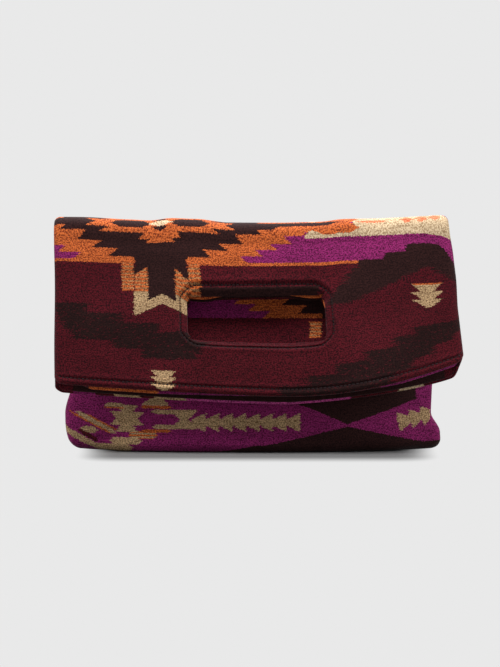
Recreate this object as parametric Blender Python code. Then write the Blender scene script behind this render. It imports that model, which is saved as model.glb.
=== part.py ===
"""A wool sack bag with a hand hole, folded over forwards and standing on its base.

All sizes are in metres, with +Z up and the front of the bag towards -Y. The bag is two cloth
panels sewn at the sides and along the bottom. Its shape is a row of flattened rings along a
middle line that climbs the body, turns over the fold and comes down the front as the flap. Each
layer of cloth is cut flat, with its hand hole, and then laid on those rings at its own depth.
"""

import math

import bmesh
import bpy
import numpy as np
from mathutils import Matrix, Vector

# Outside of the folded bag
HEIGHT = 0.1860
BASE_WIDTH = 0.3060
FOLD_WIDTH = 0.3180
MOUTH_WIDTH = 0.3300
BODY_DEPTH = 0.0720
BELLY_LEVEL = 0.0400
BASE_TURN = 0.0090
BASE_EDGE_EASE = 0.0025
TOP_LEAN = 0.0080
CORNER_TUCK = 0.02
PINCH_CURVE = 1.5
BASE_CROWN_POWER = 3.0
MOUTH_CROWN_POWER = 4.0
CROWN_ARC = 0.6

# The cloth and the clearance between touching layers
WOOL = 0.0026
FACING = 0.0016
LINING = 0.0005
LINING_EASE = 0.0012
GAP = 0.0003

# The space between the layers, and between the flap and the body
FOLD_SPACE = 0.0018
MOUTH_SPACE = 0.0058
FLAP_STAND_OFF = 0.0045
FOLD_GAP = 0.0066
FLAP_CROWN = 0.0008
SPREAD_LENGTH = 0.0140

# The flap and its mouth
FLAP_DROP = 0.1400
INNER_DROP = 0.0040
LEFT_LIFT = 0.0097
OUTER_RIGHT_LIFT = 0.0300
INNER_RIGHT_LIFT = 0.0180
LIFT_CURVE = 1.35
OUTER_RIGHT_CURVE = 1.9
LOWEST_POINT = 0.0220
MOUTH_PUFF = 0.0060
PUFF_START = 0.1
FLAP_WRAP = 0.0100
SADDLE_LEFT = 0.0040
SADDLE_RIGHT = 0.0060
SADDLE_CURVE = 2.5

# Sideways drift of the middle line, to the left at the fold
BODY_DRIFT = 0.0045
FOLD_DRIFT = 0.0065

# The hand hole and the facing round it
HOLE_WIDTH = 0.1135
HOLE_HEIGHT = 0.0490
HOLE_CORNER = 0.0095
GRIP_DEPTH = 0.0415
FACING_FROM_FOLD = 0.0077
FACING_PEEK = 0.0008
EDGE_ROLL = 0.0010

# The magnetic snap
SNAP_DIAMETER = 0.0150
SNAP_BOSS = 0.0080
SNAP_FLANGE = 0.0010
SNAP_FROM_FACING_EDGE = 0.0165
SNAP_SEAT = 0.0006

# Mesh spacing
CELL_ACROSS = 0.0240
CELL_ALONG = 0.0170
LINING_ACROSS = 0.0400
LINING_ALONG = 0.0200
FOLD_STEPS = 8
TURN_STEPS = 3
HOLE_CORNER_STEPS = 4
SNAP_STEPS = 16
LINE_STEPS = 160
FOLD_LINE_STEPS = 60
TOUCH = 1e-6
SHARP_ANGLE = math.radians(50)

MAROON = (0.105, 0.012, 0.020)
PURPLE = (0.200, 0.014, 0.150)
ORANGE = (0.600, 0.130, 0.030)
LINING_BROWN = (0.060, 0.030, 0.025)
STEEL = (0.560, 0.560, 0.570)
WOOL_ROUGHNESS = 0.95
LINING_ROUGHNESS = 0.80
STEEL_ROUGHNESS = 0.35

BACK = 1
FRONT = -1

LAYERS = WOOL + GAP + FACING
MOUTH_LEVEL = HEIGHT - FLAP_DROP
FOLD_EDGE = LAYERS + FOLD_SPACE / 2
MOUTH_EDGE = LAYERS + MOUTH_SPACE / 2
BASE_EDGE = BASE_TURN + BASE_EDGE_EASE
FOLD_HALF = FOLD_EDGE + FLAP_CROWN / 2
FOLD_RADIUS = FOLD_HALF + FOLD_GAP / 2
FOLD_LEVEL = HEIGHT - FOLD_RADIUS - FOLD_HALF
HALF_GIRTH = MOUTH_WIDTH / 2 + MOUTH_EDGE * (math.pi / 2 - 1)
TURN_LENGTH = BASE_TURN * math.pi / 2
BASE_LENGTH = BODY_DEPTH / 2 - BASE_TURN
SEAM_BACK = math.pi * FOLD_HALF - INNER_DROP / 2


def ease(t):
    """A step from 0 to 1 that starts and ends level."""
    t = np.clip(t, 0.0, 1.0)
    return t * t * (3.0 - 2.0 * t)


def mix(a, b, t):
    return a + (b - a) * t


def body_middle(z):
    """How far the middle line of the body leans to the front at height z."""
    return -TOP_LEAN * ease((z - BASE_TURN) / (FOLD_LEVEL - BASE_TURN))


def body_half(z):
    """Half the depth of the stuffed body: full at the belly, pinched at the fold."""
    up = np.clip((z - BELLY_LEVEL) / (FOLD_LEVEL - BELLY_LEVEL), 0.0, 1.0)
    return mix(FOLD_HALF, BODY_DEPTH / 2, np.cos(up * math.pi / 2) ** PINCH_CURVE)


def middle_line():
    """The middle line from the top of the base's turn to below the mouth, with the ring at each point."""
    up = np.linspace(BASE_TURN, FOLD_LEVEL, LINE_STEPS)
    over = np.linspace(0.0, math.pi, FOLD_LINE_STEPS)[1:-1]
    down = np.linspace(FOLD_LEVEL, MOUTH_LEVEL - 3 * INNER_DROP, LINE_STEPS)
    dropped = ease((FOLD_LEVEL - down) / (FOLD_LEVEL - MOUTH_LEVEL))
    opened = ease((FOLD_LEVEL - down) / SPREAD_LENGTH)
    flap_edge = mix(FOLD_EDGE, MOUTH_EDGE, opened)
    flap_half = flap_edge + mix(FLAP_CROWN / 2, FLAP_CROWN, opened)
    stand_off = mix(FOLD_GAP, FLAP_STAND_OFF, opened)
    raised = ease((up - BASE_TURN) / (FOLD_LEVEL - BASE_TURN))

    turned_y = body_middle(FOLD_LEVEL) - FOLD_RADIUS * (1.0 - np.cos(over))
    flap_y = body_middle(down) - body_half(down) - stand_off - flap_half
    flap_y += body_middle(FOLD_LEVEL) - 2 * FOLD_RADIUS - flap_y[0]
    y = np.concatenate([body_middle(up), turned_y, flap_y])
    z = np.concatenate([up, FOLD_LEVEL + FOLD_RADIUS * np.sin(over), down])
    step = np.hypot(np.diff(y), np.diff(z))
    s = TURN_LENGTH + np.concatenate([[0.0], np.cumsum(step)])
    along_y, along_z = np.gradient(y, s), np.gradient(z, s)
    length = np.hypot(along_y, along_z)
    along_y[0], along_z[0] = 0.0, length[0]

    over_like = np.ones_like(over)
    body_edge = mix(BASE_EDGE, FOLD_EDGE, raised)
    edge = np.concatenate([body_edge, FOLD_EDGE * over_like, flap_edge])
    half = np.concatenate([body_half(up), FOLD_HALF * over_like, flap_half])
    half_width = np.concatenate(
        [
            mix(BASE_WIDTH, FOLD_WIDTH, raised) / 2,
            FOLD_WIDTH / 2 * over_like,
            mix(FOLD_WIDTH, MOUTH_WIDTH, dropped) / 2,
        ]
    )
    drift = np.concatenate(
        [
            -mix(BODY_DRIFT, FOLD_DRIFT, raised),
            -FOLD_DRIFT * over_like,
            -mix(FOLD_DRIFT, 0.0, dropped),
        ]
    )
    saddle = np.concatenate([raised, over_like, 1.0 - dropped])
    wrap = np.concatenate([0.0 * raised, 0.0 * over_like, dropped])
    return {
        "s": s,
        "y": y,
        "z": z,
        "out_y": along_z / length,
        "out_z": -along_y / length,
        "edge": edge,
        "crown": half - edge,
        "half_width": half_width,
        "drift": drift,
        "saddle": saddle,
        "wrap": wrap,
    }


LINE = middle_line()


def at(name, s):
    return np.interp(s, LINE["s"], LINE[name])


def path_place(level):
    """The place along the middle line of the flap at this height."""
    flap = LINE["s"] > at_fold_end()
    return float(np.interp(-level, -LINE["z"][flap], LINE["s"][flap]))


def at_fold_start():
    return float(LINE["s"][np.argmax(LINE["z"] >= FOLD_LEVEL)])


def at_fold_end():
    return at_fold_start() + math.pi * FOLD_RADIUS


MOUTH = path_place(MOUTH_LEVEL)
HOLE_LOW = MOUTH - GRIP_DEPTH
HOLE_HIGH = HOLE_LOW - HOLE_HEIGHT
FACING_EDGE = at_fold_end() + FACING_FROM_FOLD


def ring(s, across):
    """A half ring of the sack and its outward direction, both as (sideways, outward).

    across runs from -1 to 1 between the side seams. The ring is a low crown between two round
    edges, which carry on past the seam when across passes 1.
    """
    edge, crown = at("edge", s), at("crown", s)
    half_width = at("half_width", s)
    along = (s - LINE["s"][0]) / (MOUTH - LINE["s"][0])
    power = mix(BASE_CROWN_POWER, MOUTH_CROWN_POWER, ease(along))
    lean = np.arctan(power * crown / half_width)
    join = half_width - edge * (1.0 - np.sin(lean))
    crown_length = join * (1.0 + CROWN_ARC * (crown / join) ** 2)
    edge_length = edge * (math.pi / 2 - lean)
    share = crown_length / (crown_length + edge_length)

    u = np.clip(np.abs(across) / share, 0.0, 1.0)
    turn = lean + (math.pi / 2 - lean) * np.clip((np.abs(across) - share) / (1.0 - share), 0.0, None)
    slope = power * crown / join * u ** (power - 1.0)
    flat = np.hypot(slope, 1.0)
    on_edge = np.abs(across) > share
    x = np.where(on_edge, half_width - edge + edge * np.sin(turn), join * u)
    n = np.where(on_edge, edge * np.cos(turn), edge * np.cos(lean) + crown * (1.0 - u**power))
    out_x = np.where(on_edge, np.sin(turn), slope / flat)
    out_n = np.where(on_edge, np.cos(turn), 1.0 / flat)
    way = np.where(across < 0.0, -1.0, 1.0)
    return way * x, n, way * out_x, out_n


def mouth_lift(side, across):
    """How far the mouth's edge rises above its lowest point, towards each side seam."""
    lowest = LOWEST_POINT / HALF_GIRTH
    left = np.clip((lowest - across) / (1.0 + lowest), 0.0, None)
    right = np.clip((across - lowest) / (1.0 - lowest), 0.0, None)
    if side == BACK:
        return LEFT_LIFT * left**LIFT_CURVE + OUTER_RIGHT_LIFT * right**OUTER_RIGHT_CURVE
    return LEFT_LIFT * left**LIFT_CURVE + INNER_RIGHT_LIFT * right**LIFT_CURVE


def lay(side, w, s, depth):
    """Points of a layer at this depth under the outside, for places w across and s along its cloth."""
    across = w / HALF_GIRTH
    below_hole = ease((s - HOLE_HIGH) / (MOUTH - HOLE_HIGH))
    s = s - mouth_lift(side, across) * below_hole
    turned = np.clip(s / TURN_LENGTH, 0.0, 1.0) * math.pi / 2
    level = np.maximum(s, TURN_LENGTH)
    x, n, out_x, out_n = ring(level, across)

    inset = BASE_TURN * (1.0 - np.sin(turned))
    x, n = x - inset * out_x, n - inset * out_n
    under = np.clip(-s / BASE_LENGTH, 0.0, 1.0)
    seam = SEAM_BACK * n / (BODY_DEPTH / 2 - BASE_TURN)
    n = mix(side * n, seam, under)
    x = x * (1.0 - CORNER_TUCK * under)

    n = n - side * depth * out_n * np.sin(turned)
    x = x - depth * out_x * np.sin(turned)
    drop = BASE_TURN * (1.0 - np.cos(turned)) - BASE_TURN + depth * np.cos(turned)
    n = n + side * GAP / 2 - FLAP_WRAP * at("wrap", level) * across**2
    if side == BACK:
        rightward = np.clip((across - PUFF_START) / (1.0 - PUFF_START), 0.0, 1.0)
        puff = np.sin(math.pi * rightward) ** 2
        n = n + MOUTH_PUFF * puff * below_hole**2
    saddle = mix(SADDLE_LEFT, SADDLE_RIGHT, across > 0.0) * np.abs(across) ** SADDLE_CURVE
    return np.stack(
        [
            x + at("drift", level),
            at("y", level) + n * at("out_y", level),
            at("z", level) + n * at("out_z", level) + drop + saddle * at("saddle", level),
        ],
        axis=-1,
    )


def stations(start, end, cell):
    """Evenly spaced places from start to end, no further apart than cell."""
    return np.linspace(start, end, max(1, math.ceil((end - start) / cell - 1e-9)) + 1)


def joined(*runs):
    """Runs of stations end to end, with each shared end kept once."""
    return np.unique(np.round(np.concatenate(runs), 7))


def hole_sides():
    """The hand hole's half width measured along the cloth."""
    x = ring(np.array([HOLE_LOW]), np.array([0.5]))[0][0]
    return HOLE_WIDTH / 2 * 0.5 * HALF_GIRTH / x


def columns_across(cell, grown=0.0):
    """Lines along the cloth, with lines on the hand hole's sides and corners."""
    crown = HALF_GIRTH - MOUTH_EDGE * math.pi / 2
    hole = hole_sides() + grown
    half = joined(
        stations(0.0, hole - HOLE_CORNER, cell),
        stations(hole - HOLE_CORNER, hole, cell),
        stations(hole, crown, cell),
        stations(crown, HALF_GIRTH, (HALF_GIRTH - crown) / TURN_STEPS),
    )
    return joined(-half, half)


def hole_rows(start, end, cell, grown=0.0):
    """Lines across the cloth from start to end, with lines on the hand hole's edges and corners."""
    high, low = HOLE_HIGH - grown, HOLE_LOW + grown
    return joined(
        stations(start, high, cell),
        stations(high, high + HOLE_CORNER, cell),
        stations(high + HOLE_CORNER, low - HOLE_CORNER, cell),
        stations(low - HOLE_CORNER, low, cell),
        stations(low, end, cell),
    )


def panel_rows(end):
    fold_start, fold_end = at_fold_start(), at_fold_end()
    fold_cell = (fold_end - fold_start) / FOLD_STEPS
    return joined(
        stations(-BASE_LENGTH, 0.0, CELL_ALONG),
        stations(0.0, TURN_LENGTH, TURN_LENGTH / TURN_STEPS),
        stations(TURN_LENGTH, fold_start, CELL_ALONG),
        stations(fold_start, fold_end, fold_cell),
        hole_rows(fold_end, end, CELL_ALONG),
    )


def cut_cloth(columns, rows, grown=None):
    """Flat cloth on these lines, as points and triangles. With grown set, the hand hole is left out."""
    points = [(w, s) for s in rows for w in columns]
    wide = len(columns)
    faces = []
    left, right = -hole_sides() - (grown or 0.0), hole_sides() + (grown or 0.0)
    high, low = HOLE_HIGH - (grown or 0.0), HOLE_LOW + (grown or 0.0)
    for j in range(len(rows) - 1):
        for i in range(wide - 1):
            corners = [j * wide + i, j * wide + i + 1, (j + 1) * wide + i + 1, (j + 1) * wide + i]
            w, s = (columns[i] + columns[i + 1]) / 2, (rows[j] + rows[j + 1]) / 2
            if grown is None or not (left < w < right and high < s < low):
                faces.append(corners)
                continue
            near_side = min(w - left, right - w) < HOLE_CORNER
            near_end = min(s - high, low - s) < HOLE_CORNER
            if not (near_side and near_end):
                continue
            # The cell holds a rounded corner: the cloth outside the arc stays.
            inner_w = left + HOLE_CORNER if w < 0 else right - HOLE_CORNER
            inner_s = high + HOLE_CORNER if s < (high + low) / 2 else low - HOLE_CORNER
            keep = min(corners, key=lambda k: -math.dist(points[k], (inner_w, inner_s)))
            turn = corners.index(keep)
            before, after = corners[turn - 1], corners[(turn + 1) % 4]
            start = math.atan2(points[after][1] - inner_s, points[after][0] - inner_w)
            end = math.atan2(points[before][1] - inner_s, points[before][0] - inner_w)
            swing = (end - start + math.pi) % (2 * math.pi) - math.pi
            arc = []
            for k in range(1, HOLE_CORNER_STEPS):
                angle = start + swing * k / HOLE_CORNER_STEPS
                arc.append(len(points))
                points.append(
                    (inner_w + HOLE_CORNER * math.cos(angle), inner_s + HOLE_CORNER * math.sin(angle))
                )
            faces.append([keep, after] + arc + [before])
    fans = [[face[0], b, c] for face in faces for b, c in zip(face[1:], face[2:])]
    return np.array(points), fans


def rolled_ways(points, faces, mouth):
    """The directed rim edges of the flat cloth, and for each point the way its rolled edge faces."""
    edges = {}
    for face in faces:
        for a, b in zip(face, face[1:] + face[:1]):
            edges[(a, b)] = True
    rim = [(a, b) for a, b in edges if (b, a) not in edges]
    ways = np.zeros_like(points)
    for a, b in rim:
        along_cloth = abs(points[a][0] - points[b][0]) < TOUCH
        on_seam = along_cloth and abs(abs(points[a][0]) - HALF_GIRTH) < TOUCH
        at_mouth = min(points[a][1], points[b][1]) > mouth - TOUCH
        at_hole = max(abs(points[a][0]), abs(points[b][0])) < HALF_GIRTH - TOUCH and (
            HOLE_HIGH - HOLE_CORNER < points[a][1] < HOLE_LOW + HOLE_CORNER
        )
        if on_seam or not (at_mouth or at_hole):
            continue
        way = np.array([points[b][1] - points[a][1], points[a][0] - points[b][0]])
        way /= np.hypot(*way)
        ways[a] += way
        ways[b] += way
    size = np.hypot(ways[:, 0], ways[:, 1])
    return rim, ways / np.where(size > 0, size, 1.0)[:, None]


def material(name, colour, roughness, metallic=0.0):
    made = bpy.data.materials.new(name)
    made.use_nodes = True
    shader = made.node_tree.nodes["Principled BSDF"]
    shader.inputs["Base Color"].default_value = (*colour, 1.0)
    shader.inputs["Roughness"].default_value = roughness
    shader.inputs["Metallic"].default_value = metallic
    return made


def add_object(name, mesh, finish, parent):
    mesh.materials.append(finish)
    mesh.shade_smooth()
    mesh.set_sharp_from_angle(angle=SHARP_ANGLE)
    made = bpy.data.objects.new(name, mesh)
    made.parent = parent
    bpy.context.scene.collection.objects.link(made)
    return made


def sew_layer(name, side, cloth, depths, mouth, finish, parent):
    """One layer of cloth as a closed solid between two depths, with its mouth and hole edges rolled.

    A layer whose mouth is None has plain edges all round.
    """
    points, faces = cloth
    near, far = depths
    rim, ways = rolled_ways(points, faces, math.inf if mouth is None else mouth)
    used = sorted({k for face in faces for k in face})
    edge = sorted({k for pair in rim for k in pair})
    bm = bmesh.new()

    def add_points(chosen, depth, roll):
        flat = points[chosen] + ways[chosen] * roll
        placed = lay(side, flat[:, 0], flat[:, 1], depth)
        return {k: bm.verts.new(p) for k, p in zip(chosen, placed)}

    outside = add_points(used, near, 0.0)
    inside = add_points(used, far, 0.0)
    middle = {} if mouth is None else add_points(edge, (near + far) / 2, EDGE_ROLL)
    for face in faces:
        bm.faces.new([outside[k] for k in face])
        bm.faces.new([inside[k] for k in reversed(face)])
    for a, b in rim:
        if mouth is None:
            bm.faces.new([outside[b], outside[a], inside[a], inside[b]])
            continue
        bm.faces.new([outside[b], outside[a], middle[a], middle[b]])
        bm.faces.new([middle[b], middle[a], inside[a], inside[b]])
    bmesh.ops.recalc_face_normals(bm, faces=bm.faces)
    mesh = bpy.data.meshes.new(name)
    bm.to_mesh(mesh)
    bm.free()
    return add_object(name, mesh, finish, parent)


def add_panel(name, side, mouth, parent):
    """A wool panel from the bottom seam, over the fold, to its edge of the mouth."""
    cloth = cut_cloth(columns_across(CELL_ACROSS), panel_rows(mouth), grown=0.0)
    finish = material(name, MAROON, WOOL_ROUGHNESS)
    return sew_layer(name, side, cloth, (0.0, WOOL), mouth, finish, parent)


def add_facing(name, side, mouth, colour, parent):
    """The wool facing behind a panel's mouth. Its edges stand a little past the panel's."""
    columns = columns_across(CELL_ACROSS, -FACING_PEEK)
    rows = hole_rows(FACING_EDGE, mouth + FACING_PEEK, CELL_ALONG, -FACING_PEEK)
    cloth = cut_cloth(columns, rows, grown=-FACING_PEEK)
    depths = (WOOL + GAP, WOOL + GAP + FACING)
    finish = material(name, colour, WOOL_ROUGHNESS)
    return sew_layer(name, side, cloth, depths, mouth + FACING_PEEK, finish, parent)


def add_lining(name, side, parent):
    """The thin lining from the bottom seam to the facing's edge."""
    crown = HALF_GIRTH - MOUTH_EDGE * math.pi / 2
    half = joined(
        stations(0.0, crown, LINING_ACROSS),
        stations(crown, HALF_GIRTH, (HALF_GIRTH - crown) / 2),
    )
    fold_start, fold_end = at_fold_start(), min(at_fold_end(), FACING_EDGE - GAP)
    rows = joined(
        stations(-BASE_LENGTH, 0.0, LINING_ALONG),
        stations(0.0, TURN_LENGTH, TURN_LENGTH / TURN_STEPS),
        stations(TURN_LENGTH, fold_start, LINING_ALONG),
        stations(fold_start, fold_end, (fold_end - fold_start) / FOLD_STEPS),
        stations(fold_end, FACING_EDGE - GAP, LINING_ALONG),
    )
    cloth = cut_cloth(joined(-half, half), rows)
    depths = (WOOL + LINING_EASE, WOOL + LINING_EASE + LINING)
    finish = material(name, LINING_BROWN, LINING_ROUGHNESS)
    return sew_layer(name, side, cloth, depths, None, finish, parent)


def turned_mesh(name, profile):
    """A closed turned body from (radius, height) points that start and end on the axis."""
    bm = bmesh.new()
    rings = []
    for radius, height in profile:
        if radius == 0.0:
            rings.append([bm.verts.new((0.0, 0.0, height))])
            continue
        angles = [2 * math.pi * k / SNAP_STEPS for k in range(SNAP_STEPS)]
        rings.append([bm.verts.new((radius * math.cos(a), radius * math.sin(a), height)) for a in angles])
    for lower, upper in zip(rings, rings[1:]):
        for k in range(SNAP_STEPS):
            corners = [
                lower[k % len(lower)],
                lower[(k + 1) % len(lower)],
                upper[(k + 1) % len(upper)],
                upper[k % len(upper)],
            ]
            bm.faces.new(list(dict.fromkeys(corners)))
    bmesh.ops.recalc_face_normals(bm, faces=bm.faces)
    mesh = bpy.data.meshes.new(name)
    bm.to_mesh(mesh)
    bm.free()
    return mesh


def snap_matrix(s, n):
    """A frame on the flap's middle line: local Z points out of the flap, to its visible face."""
    out = Vector((0.0, float(at("out_y", s)), float(at("out_z", s))))
    side = Vector((1.0, 0.0, 0.0))
    place = Vector((float(at("drift", s)), float(at("y", s)), float(at("z", s)))) + out * n
    return Matrix.Translation(place) @ Matrix((side, out.cross(side), out)).transposed().to_4x4()


def add_snap(parent):
    """The two halves of the snap, closed, each seated on its facing with the named clearance."""
    s = FACING_EDGE + SNAP_FROM_FACING_EDGE
    half_space = float(ring(np.array([s]), np.array([0.0]))[1][0]) - LAYERS - SNAP_SEAT
    flange, boss = SNAP_DIAMETER / 2, SNAP_BOSS / 2
    recess = boss + GAP
    reach = 2 * half_space - SNAP_FLANGE - 2 * GAP
    bevel = SNAP_FLANGE / 4
    stud = [
        (0.0, 0.0),
        (flange - bevel, 0.0),
        (flange, -bevel),
        (flange, bevel - SNAP_FLANGE),
        (flange - bevel, -SNAP_FLANGE),
        (boss, -SNAP_FLANGE),
        (boss, bevel - SNAP_FLANGE - reach / 2),
        (boss - bevel, -SNAP_FLANGE - reach / 2),
        (0.0, -SNAP_FLANGE - reach / 2),
    ]
    socket = [
        (0.0, 0.0),
        (flange - bevel, 0.0),
        (flange, bevel),
        (flange, reach - bevel),
        (flange - bevel, reach),
        (recess, reach),
        (recess, reach / 2),
        (0.0, reach / 2),
    ]
    finish = material("snap_metal", STEEL, STEEL_ROUGHNESS, 1.0)
    upper = add_object("snap_stud", turned_mesh("snap_stud", stud), finish, parent)
    upper.matrix_local = snap_matrix(s, half_space)
    lower = add_object("snap_socket", turned_mesh("snap_socket", socket), finish, parent)
    lower.matrix_local = snap_matrix(s, -half_space)


def centre_on_base(parent):
    """Moves the bag so that the middle of its outline stands over the origin."""
    bpy.context.view_layer.update()
    low = Vector((math.inf,) * 3)
    high = -low
    for child in parent.children:
        for vertex in child.data.vertices:
            place = child.matrix_world @ vertex.co
            low = Vector(map(min, low, place))
            high = Vector(map(max, high, place))
    parent.location = (-(low.x + high.x) / 2, -(low.y + high.y) / 2, -low.z)


def build():
    for old in list(bpy.data.objects):
        bpy.data.objects.remove(old, do_unlink=True)
    parent = bpy.data.objects.new("bag", None)
    bpy.context.scene.collection.objects.link(parent)
    inner_mouth = MOUTH + INNER_DROP
    add_panel("back_panel", BACK, MOUTH, parent)
    add_panel("front_panel", FRONT, inner_mouth, parent)
    add_facing("back_facing", BACK, MOUTH, ORANGE, parent)
    add_facing("front_facing", FRONT, inner_mouth, PURPLE, parent)
    add_lining("back_lining", BACK, parent)
    add_lining("front_lining", FRONT, parent)
    add_snap(parent)
    centre_on_base(parent)


build()
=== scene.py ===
import math

import bpy
import numpy as np
from mathutils import Matrix, Vector


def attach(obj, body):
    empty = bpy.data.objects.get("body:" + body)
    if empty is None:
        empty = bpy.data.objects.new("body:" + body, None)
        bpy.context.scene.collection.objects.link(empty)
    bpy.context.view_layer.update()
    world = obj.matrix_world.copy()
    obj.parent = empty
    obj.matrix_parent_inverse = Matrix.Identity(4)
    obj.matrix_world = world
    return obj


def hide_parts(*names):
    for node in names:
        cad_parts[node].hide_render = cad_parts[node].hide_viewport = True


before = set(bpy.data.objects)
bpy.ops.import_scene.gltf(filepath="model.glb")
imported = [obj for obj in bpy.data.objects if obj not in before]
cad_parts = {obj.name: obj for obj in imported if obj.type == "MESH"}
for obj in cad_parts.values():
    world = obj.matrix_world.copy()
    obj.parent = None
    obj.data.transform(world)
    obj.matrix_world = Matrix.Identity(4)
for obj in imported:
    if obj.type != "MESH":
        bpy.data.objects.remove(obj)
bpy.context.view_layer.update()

# ------------------------------------------------------------------------------------ back panel
# The thick outer cloth of the back: one length of felted jacquard wool. It is sewn to the front
# panel down both sides and along the bottom, goes over the fold, and hangs in front as the outer
# layer of the flap, with the hand hole cut in it and its mouth turned under and topstitched.

HEIGHT = 0.1860
BASE_WIDTH = 0.3060
FOLD_WIDTH = 0.3180
MOUTH_WIDTH = 0.3300
BODY_DEPTH = 0.0720
BELLY_LEVEL = 0.0400
BASE_TURN = 0.0090
BASE_EDGE = BASE_TURN + 0.0025
TOP_LEAN = 0.0080
CORNER_TUCK = 0.02
PINCH_CURVE = 1.5
CROWN_POWERS = (3.0, 4.0)
CROWN_ARC = 0.6

WOOL = 0.0026
FACING = 0.0016
LINING = 0.0005
LINING_EASE = 0.0012
GAP = 0.0003
LAYERS = WOOL + GAP + FACING
FOLD_EDGE = LAYERS + 0.0009
MOUTH_EDGE = LAYERS + 0.0029
FLAP_STAND_OFF = 0.0045
FOLD_GAP = 0.0066
FLAP_CROWN = 0.0008
SPREAD_LENGTH = 0.0140

FLAP_DROP = 0.1400
MOUTH_LEVEL = HEIGHT - FLAP_DROP
INNER_DROP = 0.0040
LEFT_LIFT = 0.0097
RIGHT_LIFTS = (0.0300, 0.0180)
LIFT_CURVE = 1.35
OUTER_RIGHT_CURVE = 1.9
LOWEST_POINT = 0.0220
OUTER_WORN = 0.0034
INNER_WORN = (-0.0008, 0.0070)
MOUTH_CORNERS = (0.0056, 0.0120)
MOUTH_PUFF = 0.0060
PUFF_START = 0.1
FLAP_WRAP = 0.0100
SADDLES = (0.0040, 0.0060)
SADDLE_CURVE = 2.5
BODY_DRIFT = 0.0045
FOLD_DRIFT = 0.0065
CENTRE_SHIFT = (0.00047, 0.01312, 0.0)
FLAP_SHIFT = 0.0017
SHOULDER = 0.0022
WAISTS = (0.0085, 0.0080)

HOLE_WIDTH = 0.1135
HOLE_HEIGHT = 0.0490
HOLE_CORNER = 0.0095
GRIP_DEPTH = 0.0415
FACING_FROM_FOLD = 0.0077
FACING_PEEK = 0.0008
EDGE_ROLL = 0.0010

FOLD_HALF = FOLD_EDGE + FLAP_CROWN / 2
FOLD_RADIUS = FOLD_HALF + FOLD_GAP / 2
FOLD_LEVEL = HEIGHT - FOLD_RADIUS - FOLD_HALF
HALF_GIRTH = MOUTH_WIDTH / 2 + MOUTH_EDGE * (math.pi / 2 - 1)
TURN_LENGTH = BASE_TURN * math.pi / 2
BASE_LENGTH = BODY_DEPTH / 2 - BASE_TURN
SEAM_BACK = math.pi * FOLD_HALF - INNER_DROP / 2
BACK, FRONT = 1, -1


def ease(t):
    t = np.clip(t, 0.0, 1.0)
    return t * t * (3.0 - 2.0 * t)


def mix(a, b, t):
    return a + (b - a) * t


def body_middle(z):
    return -TOP_LEAN * ease((z - BASE_TURN) / (FOLD_LEVEL - BASE_TURN))


def body_half(z):
    up = np.clip((z - BELLY_LEVEL) / (FOLD_LEVEL - BELLY_LEVEL), 0.0, 1.0)
    return mix(FOLD_HALF, BODY_DEPTH / 2, np.cos(up * math.pi / 2) ** PINCH_CURVE)


def middle_line():
    """The line up the middle of the filled body, over the fold and down the flap."""
    up = np.linspace(BASE_TURN, FOLD_LEVEL, 160)
    over = np.linspace(0.0, math.pi, 60)[1:-1]
    down = np.linspace(FOLD_LEVEL, MOUTH_LEVEL - 3 * INNER_DROP, 160)
    dropped = ease((FOLD_LEVEL - down) / (FOLD_LEVEL - MOUTH_LEVEL))
    opened = ease((FOLD_LEVEL - down) / SPREAD_LENGTH)
    flap_edge = mix(FOLD_EDGE, MOUTH_EDGE, opened)
    flap_half = flap_edge + mix(FLAP_CROWN / 2, FLAP_CROWN, opened)
    stand_off = mix(FOLD_GAP, FLAP_STAND_OFF, opened)
    raised = ease((up - BASE_TURN) / (FOLD_LEVEL - BASE_TURN))
    level = np.ones_like(over)

    turned_y = body_middle(FOLD_LEVEL) - FOLD_RADIUS * (1.0 - np.cos(over))
    flap_y = body_middle(down) - body_half(down) - stand_off - flap_half
    flap_y += body_middle(FOLD_LEVEL) - 2 * FOLD_RADIUS - flap_y[0]
    y = np.concatenate([body_middle(up), turned_y, flap_y])
    z = np.concatenate([up, FOLD_LEVEL + FOLD_RADIUS * np.sin(over), down])
    s = TURN_LENGTH + np.concatenate([[0.0], np.cumsum(np.hypot(np.diff(y), np.diff(z)))])
    along_y, along_z = np.gradient(y, s), np.gradient(z, s)
    length = np.hypot(along_y, along_z)
    along_y[0], along_z[0] = 0.0, length[0]

    edge = np.concatenate([mix(BASE_EDGE, FOLD_EDGE, raised), FOLD_EDGE * level, flap_edge])
    half = np.concatenate([body_half(up), FOLD_HALF * level, flap_half])
    widths = [mix(BASE_WIDTH, FOLD_WIDTH, raised), FOLD_WIDTH * level, mix(FOLD_WIDTH, MOUTH_WIDTH, dropped)]
    drift = [-mix(BODY_DRIFT, FOLD_DRIFT, raised), -FOLD_DRIFT * level, -mix(FOLD_DRIFT, 0.0, dropped)]
    return {
        "s": s,
        "y": y,
        "z": z,
        "out_y": along_z / length,
        "out_z": -along_y / length,
        "edge": edge,
        "crown": half - edge,
        "half_width": np.concatenate(widths) / 2,
        "drift": np.concatenate(drift),
        "saddle": np.concatenate([raised, level, 1.0 - dropped]),
        "wrap": np.concatenate([0.0 * raised, 0.0 * level, dropped]),
    }


line = middle_line()
fold_start = float(line["s"][np.argmax(line["z"] >= FOLD_LEVEL)])
fold_end = fold_start + math.pi * FOLD_RADIUS
on_flap = line["s"] > fold_end
MOUTH = float(np.interp(-MOUTH_LEVEL, -line["z"][on_flap], line["s"][on_flap]))
HOLE_LOW = MOUTH - GRIP_DEPTH
HOLE_HIGH = HOLE_LOW - HOLE_HEIGHT
FACING_EDGE = fold_end + FACING_FROM_FOLD


def at(name, s):
    return np.interp(s, line["s"], line[name])


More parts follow.
